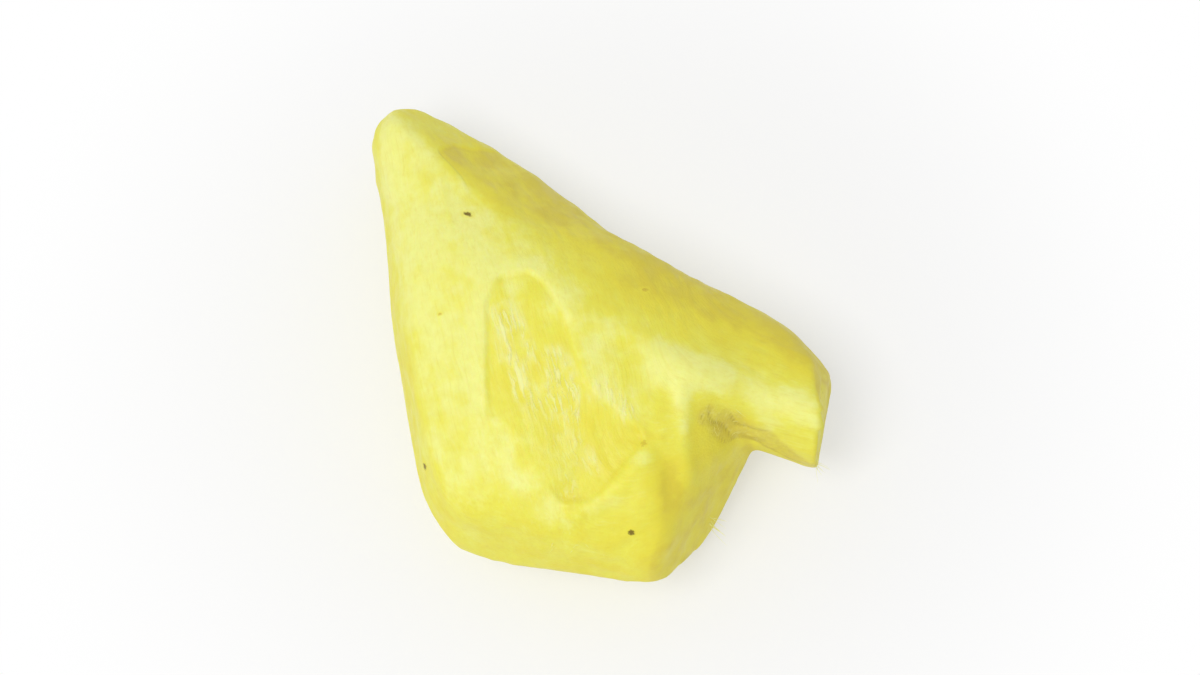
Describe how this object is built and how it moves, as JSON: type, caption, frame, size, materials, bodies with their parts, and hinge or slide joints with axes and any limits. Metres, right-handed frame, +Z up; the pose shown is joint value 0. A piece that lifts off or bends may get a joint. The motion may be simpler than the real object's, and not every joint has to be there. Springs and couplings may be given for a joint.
{
  "type": "ginger root",
  "caption": "Peeled piece of fresh ginger root: a thick body with a round-ended finger, a cut stub and a lower lobe, lying flat.",
  "frame": {"origin": "bottom centre of the bounding box, on the surface that the root lies on", "axes": "+Z up from the flat cut facet; +X towards the cut end of the stub; +Y towards the round knob"},
  "size_m": [0.0776, 0.0832, 0.0334],
  "materials": {
    "ginger_flesh": "moist pale yellow peeled flesh, soft satin, fine fibres"
  },
  "bodies": {
    "root": {"ginger_root": "ginger_flesh"}
  },
  "joints": []
}
